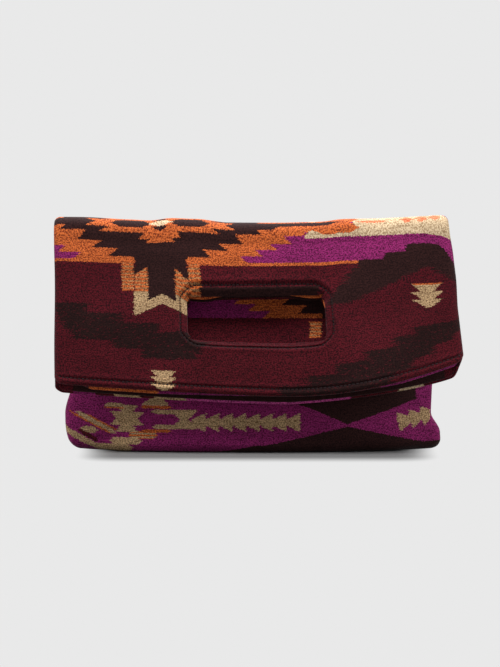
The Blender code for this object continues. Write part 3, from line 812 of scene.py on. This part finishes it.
def back_weave(tree, crisp, soft):
    threads = start_threads(tree, MAROON)
    across, along = soft[0], unfolded(soft[1], STAR_ON_BACK[1])
    speckled = noise(tree, crisp[0], crisp[1], 0.70, 0.95, 2.0, 7.7) > 0.37
    # Brown patches of the weave on the lower flap, laid in the shaded brown: print in a colour darkened by painted
    # shade.
    shaded_patches = [
        (SHADED_BROWN, motif(-152, 259.5, 8.3, NEVER, 16, 12, -3, 4, 17)),
        (SHADED_BROWN, motif(-80, 291.5, 8.0, NEVER, 38, -14, -3, 2, 9)),
        (SHADED_BROWN, motif(147, 286.5, 8.0, NEVER, 23, 0, -4)),
        (SHADED_BROWN, motif(141, 294, 9.5, NEVER, 34, 0, -4)),
        (SHADED_BROWN, motif(122, 303, 7.6, NEVER, 38, 3, -3, 4, -21)),
    ]
    threads = weave_motifs(tree, across, along, threads, shaded_patches, speckled)
    star_along = (drooped(*crisp) - STAR_ON_BACK[1]).through("ABSOLUTE")
    star_across = crisp[0] - STAR_ON_BACK[0]
    threads = weave_motifs(tree, star_across, star_along, threads, STAR)
    in_line = (star_along > 27.7) * (star_along < 30.1) * (star_across.through("ABSOLUTE") > 32.7)
    threads = lay_over(tree, in_line * (star_across < 162.6), threads, ORANGE)
    threads = lay_over(tree, in_line * (star_across > 162.6), threads, BROWN)
    across, along = crisp[0], unfolded(drooped(*crisp), STAR_ON_BACK[1])
    top = [
        (CREAM, motif(204, 203.7, NEVER, 3.9, 160, 0, -4)),
        (CREAM, motif(204, 196.0, 7.7, NEVER, 119, 0, 4)),
        (ORANGE, motif(71, 199.6, 2.4, 3.6, 19, 0, -8)),
        (BROWN, motif(150, 211.8, 6.2, NEVER, 22, 0, 3)),
        (BROWN, motif(150, 218.0, 5.2, NEVER, 40, 22, 3, 2)),
        (PURPLE, motif(169, 205.0, 21.0, NEVER, 22, 0, -21)),
    ]
    threads = weave_motifs(tree, across, along, threads, top)
    on_fold = [
        (BROWN, motif(42, 194.6, 1.9, 1.5, 33, 0, -12)),
        # The salmon row at 100 mm across, along the top of the fold, is a painted highlight where the fold faces
        # the light.
        (SALMON, motif(100, 195.6, 1.0, 1.0, 14, 0, -8)),
        (SALMON, motif(129, 194.9, 2.8, 2.8, 6, 0, -5.5)),
        (SALMON, motif(141, 194.7, 2.8, 2.8, 6, 0, -5.5)),
        (SALMON, motif(152.5, 194.2, 2.8, 2.8, 6, 0, -5.5)),
        # A dark brown band along the hand hole's top lip: painted shade where the lip turns down into shadow.
        (BROWN, motif(4, 238.8, 6.0, NEVER, 50, 0, -4)),
    ]
    threads = weave_motifs(tree, crisp[0], crisp[1], threads, on_fold)
    across, along = soft[0], unfolded(drooped(*soft), STAR_ON_BACK[1])
    dusk = [
        (BROWN, motif(147.4, 226.6, 8.0, NEVER, 62, 8, 6, 4)),
        (MAROON, motif(142, 230.5, 31, NEVER, 0, 0, 74)),
    ]
    threads = weave_motifs(tree, across, along, threads, dusk)
    across, along = crisp[0], unfolded(crisp[1], STAR_ON_BACK[1])
    lozenges = [
        *lozenge(139.6, 244.0, 12.6, 7.1),
        (ORANGE, motif(139.6, 244.0, 1.2, NEVER, 12.2, 0, -2)),
        *lozenge(-77.0, 317.2, 10.6, 5.1),
    ]
    threads = weave_motifs(tree, across, along, threads, lozenges)
    threads = lay_over(tree, along > 348.0, threads, PURPLE)
    for first, way in ((-140.0, 1.0), (140.0, -1.0)):
        row = arrows(across, along, first, 362.0, 8, 11.5, 7.6, way)
        threads = lay_over(tree, row, threads, TAN)
    return threads


back_cloth.data.materials.append(wool_material("patterned_wool_back", back_weave))
BACK_HOLE_CUT = 4 * hole_half() * HOLE_HEIGHT / 2
2 * HALF_GIRTH * (BASE_LENGTH + MOUTH) - BACK_HOLE_CUT
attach(back_cloth, "root")
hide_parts("back_panel")

# ----------------------------------------------------------------------------------- front panel
# The cloth of the front, from the same weave. It climbs the front of the filled body, turns
# tightly inside the fold and hangs behind the outer layer, so that only its lower body, its
# mouth edge and a patch behind the hand hole are seen.

inner_mouth = MOUTH + INNER_DROP
front_cloth = sewn_cloth(
    "front_cloth",
    FRONT,
    cut_cloth(cloth_columns(), panel_rows(inner_mouth), 0.0),
    0.0,
    WOOL,
    inner_mouth,
    flap_relief(inner_mouth),
)
STAR_ON_FRONT = (81.0, 142.6)
SLANT = 0.45
# What the inner layer's rolled mouth edge shows: a yarn from each of these places on. The rose is no yarn of the
# weave but a painted highlight on the rim where it faces the light.
EDGE_YARNS = (
    (PURPLE, -150.0),
    (MAROON, -132.0),
    (TAN, -117.0),
    (MAROON, -96.0),
    (TAN, -85.0),
    (ROSE_HIGHLIGHT, -60.0),
    (MAROON, 72.0),
    (CREAM, 110.0),
    (MAROON, 131.0),
)


def front_weave(tree, crisp, soft):
    across, along = crisp
    threads = start_threads(tree, MAROON)
    body = [
        (PURPLE, motif(0, 30, 50, 80, 900)),
        (BROWN, motif(82.2, 29.2, 24, NEVER, 0, 0, 57)),
        (BROWN, motif(90.0, 31.6, 16, NEVER, 0, 0, 56)),
        (BROWN, motif(103.0, 47.4, 36, NEVER, 43)),
        (BROWN, motif(82.2, 53.1, 30, NEVER, 57)),
        (BROWN, motif(150, 12.6, NEVER, 30, 38, 0, 0)),
        (BROWN, motif(82.0, 27.2, NEVER, 15.8, 0, 70, 70, 4, -9)),
        (TAN, motif(-58.5, 33.5, 8.2, 8.2, 3.6, 0, 8.0)),
        (TAN, motif(-75, 39.8, 1.9, 1.9, 12, 0, -4)),
        (TAN, motif(-74, 27.0, 1.9, 1.9, 12, 0, -4)),
        (TAN, motif(-83, 45.0, 3.2, NEVER, 12, -4, -2, 2)),
        (ORANGE, motif(-83, 43.6, 1.2, 1.2, 14, 0, -3)),
        (ORANGE, motif(-82.5, 23.4, 1.4, 1.4, 13, 0, -3)),
        ((TAN, ORANGE), motif(-94, 19.8, 3.2, 3.2, 13, 0, -4)),
        (TAN, motif(-108, 33.4, 5.6, 5.6, 9.5, -4.5, 5, 2)),
        (TAN, motif(-119, 43.8, 2.2, 2.2, 9, 0, -3)),
        (ORANGE, motif(-119, 42.0, 0.6, 0.6, 9, 0, 0)),
        (TAN, motif(-141, 23.0, 2.6, 3.0, 8, 0, -4)),
        (TAN, motif(-109, 14.6, 3.0, 3.0, 14, 0, -4)),
        (TAN, motif(-121, 9.0, 3.0, 6.0, 18, 0, -4)),
    ]
    threads = weave_motifs(tree, across, along, threads, body)
    sloping = [
        (TAN, motif(-135, -31.8, 2.2, 2.2, 18, 0, -4)),
        (ORANGE, motif(-141, -34.3, 0.8, 0.8, 18)),
        (ORANGE, motif(-130, -29.0, 0.8, 0.8, 13)),
        (TAN, motif(-150, -52.0, 3.0, 3.0, 22, 0, -3)),
        (MAROON, motif(-142, -46.0, 2.2, 2.2, 9, 0, -3)),
    ]
    threads = weave_motifs(tree, across, along + across * SLANT, threads, sloping)
    row = arrows(across, along, -51.7, 31.2, 8, 11.5, 8.0, 1.0)
    turned_row = arrows(across, along - (across - 127.0) * 0.15, 162.0, 29.6, 3, 11.5, 7.8, -1.0)
    threads = lay_over(tree, row.through("MAXIMUM", turned_row), threads, TAN)
    star_along = (along - STAR_ON_FRONT[1]).through("ABSOLUTE")
    star_across = across - STAR_ON_FRONT[0]
    threads = weave_motifs(tree, star_across, star_along, threads, STAR)
    ends = [
        (MAROON, motif(60, 114.6, NEVER, 2.6, 16)),
        (MAROON, motif(70, 113.0, NEVER, 30, 11.2)),
        (MAROON, motif(60, 99.5, NEVER, 14, 16)),
    ]
    threads = weave_motifs(tree, across, along, threads, ends)
    on_edge = along > 332.5
    for yarn, place in EDGE_YARNS:
        threads = lay_over(tree, on_edge * (across > place), threads, yarn)
    return threads


front_cloth.data.materials.append(wool_material("patterned_wool_front", front_weave))
2 * HALF_GIRTH * (BASE_LENGTH + inner_mouth) - BACK_HOLE_CUT
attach(front_cloth, "root")
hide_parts("front_panel")

# --------------------------------------------------------------------------------------- facings
# Two narrow pieces of thinner wool sewn inside the mouth, one to each layer. They stand a hair
# past the panels, so their orange and purple edges show as thin lines along the mouth, and the
# back one sags a little at the upper corners of the hand hole.

HOLE_SAG = 0.0034
HOLE_TUCK = 0.0022
RIGHT_PEEK = {BACK: 0.0022, FRONT: 0.0}
# How much further than sewn each facing shows below its panel's mouth, at places across.
MOUTH_PEEKS = {
    BACK: (
        (-0.142, -0.0008),
        (-0.134, 0.0019),
        (-0.080, 0.0016),
        (-0.040, 0.0005),
        (0.0, -0.0004),
        (0.085, -0.0004),
        (0.110, 0.0009),
        (0.160, 0.0008),
    ),
    FRONT: ((-0.150, -0.0030), (0.150, -0.0030)),
}


def facing_cloth(name, side, mouth):
    rows = flap_rows(FACING_EDGE, mouth + FACING_PEEK, -FACING_PEEK)
    points, faces = cut_cloth(cloth_columns(-FACING_PEEK), rows, -FACING_PEEK)
    w, s = points.T
    half, hole_middle = hole_half(), (HOLE_HIGH + HOLE_LOW) / 2
    top = np.exp(-(((s - HOLE_HIGH) / 0.004) ** 2))
    ends = np.exp(-(((w + 0.75 * half) / 0.012) ** 2)) + np.exp(-(((w - 0.82 * half) / 0.014) ** 2))
    tuck = HOLE_TUCK * np.clip(1.0 - np.abs(hole_distance(w, s)) / 0.006, 0.0, 1.0)
    out_w = np.sign(w) * (np.abs(w) > half - HOLE_CORNER) * (np.abs(s - hole_middle) < HOLE_HEIGHT / 2)
    out_s = np.sign(s - hole_middle) * (np.abs(s - hole_middle) > HOLE_HEIGHT / 2 - HOLE_CORNER)
    peek = np.interp(w, *zip(*MOUTH_PEEKS[side])) * ease((s - mouth + 0.008) / 0.008)
    right_edge = np.exp(-(((w - half) / 0.004) ** 2) - ((s - HOLE_HIGH - 0.011) / 0.009) ** 2)
    w = w + tuck * out_w - RIGHT_PEEK[side] * right_edge
    s = s + tuck * out_s + HOLE_SAG * ends * top + peek
    points = np.stack([w, s], axis=1)
    return sewn_cloth(name, side, (points, faces), WOOL + GAP, LAYERS, mouth - 0.003)


def facing_weave(changes):
    """Plain wool whose yarn changes at these places across."""

    def weave(tree, crisp, soft):
        threads = start_threads(tree, changes[0])
        for yarn, place in changes[1:]:
            threads = lay_over(tree, crisp[0] > place, threads, yarn)
        return threads

    return weave


def back_facing_weave(tree, crisp, soft):
    threads = facing_weave((MAROON, (ORANGE, -137.0), (PURPLE, -81.0), (MAROON, -10.0), (PURPLE, 95.0)))
    threads = threads(tree, crisp, soft)
    return lay_over(tree, (crisp[1] < 290.0), threads, ORANGE)


back_facing = facing_cloth("back_facing_cloth", BACK, MOUTH)
back_facing.data.materials.append(
    wool_material("orange_wool", back_facing_weave)
)
front_facing = facing_cloth("front_facing_cloth", FRONT, inner_mouth)
front_facing.data.materials.append(
    wool_material("purple_wool", facing_weave((MAROON, (BROWN, -150.0), (MAROON, 150.0))))
)
for piece, node, slot, mouth in (
    (back_facing, "back_facing", "orange_wool", MOUTH),
    (front_facing, "front_facing", "purple_wool", inner_mouth),
):
    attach(piece, "root")
    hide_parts(node)
    facing_length = mouth - FACING_EDGE
    cut = 2 * HALF_GIRTH * facing_length - BACK_HOLE_CUT

# ----------------------------------------------------------------------------------- topstitching
# Strong dark thread, sewn through panel and facing: one row along each mouth and one round each
# hand hole. Each stitch lies in the groove that it pulls in, and dives into the wool at its ends.

THREAD = 0.00055
STITCH_PITCH = 0.0032
STITCH_SHARE = 0.80
STITCH_RINGS = 9
THREAD_SIDES = 6


def hole_path(distance):
    """A closed line round the hand hole, this far outside its edge."""
    half_w, half_s = hole_half(), HOLE_HEIGHT / 2
    turns = np.linspace(0.0, math.pi / 2, 24)
    points = []
    for quarter in range(4):
        way_w, way_s = ((1, 1), (-1, 1), (-1, -1), (1, -1))[quarter]
        bend = turns if way_w * way_s > 0 else turns[::-1]
        reach = HOLE_CORNER + distance
        w = way_w * (half_w - HOLE_CORNER + reach * np.cos(bend))
        s = (HOLE_HIGH + HOLE_LOW) / 2 + way_s * (half_s - HOLE_CORNER + reach * np.sin(bend))
        points.append(np.stack([w, s], axis=1))
    loop = np.concatenate(points)
    return np.concatenate([loop, loop[:1]])


def mouth_path(mouth):
    w = np.linspace(-HALF_GIRTH + 0.004, HALF_GIRTH - 0.004, 200)
    return np.stack([w, np.full_like(w, mouth - MOUTH_STITCH)], axis=1)


def sewn_rows(name, side, paths):
    """Rows of stitches down in the grooves along these lines, as one piece of thread."""
    places, faces = [], []
    for path, depth in paths:
        run = np.concatenate([[0.0], np.cumsum(np.hypot(*np.diff(path, axis=0).T))])
        count = int(run[-1] / STITCH_PITCH)
        for k in range(count):
            t = (k + np.linspace(0.5 - STITCH_SHARE / 2, 0.5 + STITCH_SHARE / 2, STITCH_RINGS)) / count
            w, s = np.interp(t * run[-1], run, path[:, 0]), np.interp(t * run[-1], run, path[:, 1])
            bend = np.linspace(-1.0, 1.0, STITCH_RINGS)
            rise = THREAD * 0.9 - THREAD * 2.4 * np.abs(bend) ** 5
            centre = lay(side, w, s, depth - rise)
            above = lay(side, w, s, depth - 0.001) - lay(side, w, s, depth)
            above /= np.linalg.norm(above, axis=1)[:, None]
            along = np.gradient(centre, axis=0)
            beside = np.cross(along, above)
            beside /= np.linalg.norm(beside, axis=1)[:, None]
            thick = THREAD * np.sqrt(np.clip(1.02 - bend**6, 0.0, 1.0))
            first = len(places)
            for ring_centre, up, out_way, radius in zip(centre, above, beside, thick):
                for j in range(THREAD_SIDES):
                    turn = 2 * math.pi * j / THREAD_SIDES
                    places.append(ring_centre + radius * (math.cos(turn) * out_way + math.sin(turn) * up))
            for r in range(STITCH_RINGS - 1):
                for j in range(THREAD_SIDES):
                    a, b = first + r * THREAD_SIDES + j, first + r * THREAD_SIDES + (j + 1) % THREAD_SIDES
                    faces.append((a, b, b + THREAD_SIDES, a + THREAD_SIDES))
            last = first + (STITCH_RINGS - 1) * THREAD_SIDES
            faces.append(tuple(first + j for j in reversed(range(THREAD_SIDES))))
            faces.append(tuple(last + j for j in range(THREAD_SIDES)))
    piece = new_piece(name, places, faces)
    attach(piece, "root")
    return piece


thread_finish = bpy.data.materials.new("dark_thread")
thread_finish.use_nodes = True
tree = thread_finish.node_tree
shader = tree.nodes["Principled BSDF"]
place = tree.nodes.new("ShaderNodeTexCoord")
twist = tree.nodes.new("ShaderNodeTexNoise")
tree.links.new(place.outputs["Object"], twist.inputs["Vector"])
twist.inputs["Scale"].default_value = 2600.0
twist.inputs["Detail"].default_value = 2.0
feed(
    tree,
    shader.inputs["Base Color"],
    mix_colours(tree, Wire(tree, twist.outputs[0]), seen(22, 13, 15), seen(52, 30, 34)),
)
shader.inputs["Roughness"].default_value = 0.6
shader.inputs["Specular IOR Level"].default_value = 0.3
bump = tree.nodes.new("ShaderNodeBump")
bump.inputs["Strength"].default_value = 0.5
bump.inputs["Distance"].default_value = 0.0002
tree.links.new(twist.outputs[0], bump.inputs["Height"])
tree.links.new(bump.outputs[0], shader.inputs["Normal"])

for name, side, mouth, slot in (
    ("back_topstitching", BACK, MOUTH, "patterned_wool_back"),
    ("front_topstitching", FRONT, inner_mouth, "patterned_wool_front"),
):
    lines = ((hole_path(HOLE_STITCH), HOLE_GROOVE), (mouth_path(mouth), MOUTH_GROOVE))
    rows = sewn_rows(name, side, lines)
    rows.data.materials.append(thread_finish)

# ---------------------------------------------------------------------------------------- linings
# Two pieces of thin brown cotton, sewn in from the bottom seam up to the facings. Loose cloth
# inside the bag: it ripples a little between its seams.

LINING_CELL = 0.0044
RIPPLE = 0.0011


def lining_cloth(name, side):
    half = joined(
        stations(0.0, HALF_GIRTH - EDGE_BAND, LINING_CELL),
        stations(HALF_GIRTH - EDGE_BAND, HALF_GIRTH, CLOTH_CELL),
    )
    end = FACING_EDGE - GAP
    rows = joined(
        stations(-BASE_LENGTH, 0.0, LINING_CELL),
        stations(0.0, TURN_LENGTH, TURN_LENGTH / 8),
        stations(TURN_LENGTH, fold_start, LINING_CELL),
        stations(fold_start, fold_end, (fold_end - fold_start) / 20),
        stations(fold_end, end, LINING_CELL),
    )

    def ripples(w, s):
        room = np.sin(math.pi * np.clip((s - TURN_LENGTH) / (fold_start - TURN_LENGTH - 0.02), 0.0, 1.0))
        edge = 1.0 - np.clip(np.abs(w) / HALF_GIRTH, 0.0, 1.0) ** 6
        waves = np.sin(71.0 * w + 23.0 * s) * np.sin(38.0 * s - 19.0 * w + 0.6) + 1.0
        return -RIPPLE * waves * room * edge

    near = WOOL + LINING_EASE
    points, faces = cut_cloth(joined(-half, half), rows)
    return rippled_cloth(name, side, points, faces, near, near + LINING, ripples)


def rippled_cloth(name, side, points, faces, near, far, ripples):
    """A thin layer whose two faces ripple together."""
    outer = lay(side, points[:, 0], points[:, 1], near - ripples(points[:, 0], points[:, 1]))
    inner = lay(side, points[:, 0], points[:, 1], far - ripples(points[:, 0], points[:, 1]))
    count = len(points)
    directed = np.array([(a, b) for face in faces for a, b in zip(face, face[1:] + face[:1])])
    code = directed[:, 0] * count + directed[:, 1]
    rim = directed[~np.isin(code, directed[:, 1] * count + directed[:, 0])]
    made = faces + [[k + count for k in reversed(face)] for face in faces]
    made += np.stack([rim[:, 1], rim[:, 0], rim[:, 0] + count, rim[:, 1] + count], axis=1).tolist()
    if side == FRONT:
        made = [face[::-1] for face in made]
    return new_piece(name, np.concatenate([outer, inner]), made, np.concatenate([points, points]))


cotton = bpy.data.materials.new("lining_cotton")
cotton.use_nodes = True
tree = cotton.node_tree
shader = tree.nodes["Principled BSDF"]
flat = tree.nodes.new("ShaderNodeUVMap")
flat.uv_map = "cloth"
parts = tree.nodes.new("ShaderNodeSeparateXYZ")
tree.links.new(flat.outputs[0], parts.inputs[0])
across, along = Wire(tree, parts.outputs[0]) * 1000.0, Wire(tree, parts.outputs[1]) * 1000.0
COTTON_PITCH = 0.45
warp_wave = (across * (2 * math.pi / COTTON_PITCH)).through("SINE")
weft_wave = (along * (2 * math.pi / COTTON_PITCH)).through("SINE")
slub = noise(tree, across, along, 0.2, 1.6, 2.0, 2.2)
weave_height = warp_wave * weft_wave * 0.5 + slub
shade = noise(tree, across, along, 0.05, 0.05, 2.0, 9.1) * 0.5 + slub * 0.5 + 0.45
cotton_colour = mix_colours(tree, 1.0, seen(74, 50, 44), shade, "MULTIPLY")
feed(tree, shader.inputs["Base Color"], cotton_colour)
shader.inputs["Roughness"].default_value = 0.85
shader.inputs["Specular IOR Level"].default_value = 0.2
bump = tree.nodes.new("ShaderNodeBump")
bump.inputs["Strength"].default_value = 0.5
bump.inputs["Distance"].default_value = 0.0001
feed(tree, bump.inputs["Height"], weave_height)
tree.links.new(bump.outputs[0], shader.inputs["Normal"])

for name, side, node in (("back_lining_cloth", BACK, "back_lining"), ("front_lining_cloth", FRONT, "front_lining")):
    piece = lining_cloth(name, side)
    piece.data.materials.append(cotton)
    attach(piece, "root")
    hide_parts(node)
    BASE_LENGTH + FACING_EDGE - GAP

# ---------------------------------------------------------------------------------- magnetic snap
# Two nickel-plated steel halves, one set in each facing above the hand hole: a socket with a
# raised rim, and a stud that is drawn into it.

nickel = bpy.data.materials.new("nickel_plate")
nickel.use_nodes = True
tree = nickel.node_tree
shader = tree.nodes["Principled BSDF"]
place = tree.nodes.new("ShaderNodeTexCoord")
haze = tree.nodes.new("ShaderNodeTexNoise")
tree.links.new(place.outputs["Object"], haze.inputs["Vector"])
haze.inputs["Scale"].default_value = 320.0
haze.inputs["Detail"].default_value = 4.0
haze_value = Wire(tree, haze.outputs[0])
feed(tree, shader.inputs["Base Color"], mix_colours(tree, haze_value, seen(168, 164, 156), seen(206, 203, 196)))
feed(tree, shader.inputs["Roughness"], haze_value * 0.25 + 0.18)
shader.inputs["Metallic"].default_value = 1.0
for node in ("snap_socket", "snap_stud"):
    for holder in bpy.data.objects[node].material_slots:
        holder.material = nickel

# --------------------------------------------------------------------------------- floor and view
# A pale floor under soft studio light, seen level from the front through a long lens. Near the bag its own colour
# is dark grey, a painted contact shadow over the real one; away from the bag the camera sees a pale glow.

PALE = seen(233, 233, 233)
floor_mesh = bpy.data.meshes.new("floor")
floor_mesh.from_pydata([(-6, -6, 0), (6, -6, 0), (6, 6, 0), (-6, 6, 0)], [], [(0, 1, 2, 3)])
floor = bpy.data.objects.new("floor", floor_mesh)
bpy.context.scene.collection.objects.link(floor)
paper = bpy.data.materials.new("pale_floor")
paper.use_nodes = True
tree = paper.node_tree
shader = tree.nodes["Principled BSDF"]
# Painted shadow: the floor's own dark grey makes the contact shadow near the bag deeper than the lamps alone would.
shader.inputs["Base Color"].default_value = (0.24, 0.24, 0.24, 1.0)
shader.inputs["Roughness"].default_value = 1.0
shader.inputs["Specular IOR Level"].default_value = 0.0
place = tree.nodes.new("ShaderNodeTexCoord")
parts = tree.nodes.new("ShaderNodeSeparateXYZ")
tree.links.new(place.outputs["Object"], parts.inputs[0])
# Distance from the bag's footprint, steeper at the sides: over it the painted shadow gives way to the pale glow.
beyond_side = (Wire(tree, parts.outputs[0]).through("ABSOLUTE") - 0.095).through("MAXIMUM", 0.0)
beyond_side = beyond_side * beyond_side * 16.5
beyond_front = (Wire(tree, parts.outputs[1]).through("ABSOLUTE") - 0.036).through("MAXIMUM", 0.0)
clear = (beyond_side * beyond_side + beyond_front * beyond_front).through("SQRT")
past_painted_shadow = tree.nodes.new("ShaderNodeMapRange")
past_painted_shadow.interpolation_type = "SMOOTHSTEP"
past_painted_shadow.inputs["From Min"].default_value = 0.004
past_painted_shadow.inputs["From Max"].default_value = 0.044
feed(tree, past_painted_shadow.inputs["Value"], clear)
light_path = tree.nodes.new("ShaderNodeLightPath")
looked_at = Wire(tree, light_path.outputs["Is Camera Ray"]).through("MAXIMUM", Wire(tree, light_path.outputs["Is Glossy Ray"]))
glow = tree.nodes.new("ShaderNodeEmission")
glow.inputs["Color"].default_value = PALE
join = tree.nodes.new("ShaderNodeMixShader")
feed(tree, join.inputs[0], looked_at * Wire(tree, past_painted_shadow.outputs[0]))
tree.links.new(shader.outputs[0], join.inputs[1])
tree.links.new(glow.outputs[0], join.inputs[2])
tree.links.new(join.outputs[0], tree.nodes["Material Output"].inputs["Surface"])
floor_mesh.materials.append(paper)

scene = bpy.context.scene
world = bpy.data.worlds.new("studio")
scene.world = world
world.use_nodes = True
tree = world.node_tree
sky = tree.nodes["Background"]
sky.inputs["Color"].default_value = (1.0, 1.0, 1.0, 1.0)
sky.inputs["Strength"].default_value = 0.12
pale = tree.nodes.new("ShaderNodeBackground")
pale.inputs["Color"].default_value = PALE
rays = tree.nodes.new("ShaderNodeLightPath")
looked_at = Wire(tree, rays.outputs["Is Camera Ray"]).through("MAXIMUM", Wire(tree, rays.outputs["Is Glossy Ray"]))
join = tree.nodes.new("ShaderNodeMixShader")
feed(tree, join.inputs[0], looked_at)
tree.links.new(sky.outputs[0], join.inputs[1])
tree.links.new(pale.outputs[0], join.inputs[2])
tree.links.new(join.outputs[0], tree.nodes["World Output"].inputs["Surface"])


def soft_light(name, place, target, size, power):
    lamp = bpy.data.lights.new(name, "AREA")
    lamp.shape = "RECTANGLE"
    lamp.size, lamp.size_y = size
    lamp.energy = power
    made = bpy.data.objects.new(name, lamp)
    made.location = place
    way = Vector(target) - Vector(place)
    made.rotation_euler = way.to_track_quat("-Z", "Y").to_euler()
    scene.collection.objects.link(made)
    return made


soft_light("top_light", (0.0, 0.70, 1.20), (0.0, 0.0, 0.05), (0.9, 0.4), 22.0)
soft_light("front_light", (-0.12, -0.62, 1.34), (0.0, 0.0, 0.1), (0.9, 0.4), 15.4)
soft_light("left_light", (-1.10, -0.25, 0.45), (0.0, 0.0, 0.08), (0.5, 0.5), 2.8)
soft_light("right_light", (1.10, -0.25, 0.45), (0.0, 0.0, 0.08), (0.5, 0.5), 4.8)

camera_data = bpy.data.cameras.new("camera")
camera_data.sensor_fit = "HORIZONTAL"
camera_data.sensor_width = 36.0
camera_data.lens = 36.0 * 2.2 / 0.405
camera_data.clip_end = 50.0
camera = bpy.data.objects.new("camera", camera_data)
aim = Vector((-0.0061, 0.0, 0.0950))
elevation = math.radians(5.0)
camera.location = aim + 2.2 * Vector((0.0, -math.cos(elevation), math.sin(elevation)))
camera.rotation_euler = (aim - camera.location).to_track_quat("-Z", "Y").to_euler()
scene.collection.objects.link(camera)
scene.camera = camera
scene.view_settings.view_transform = "Standard"
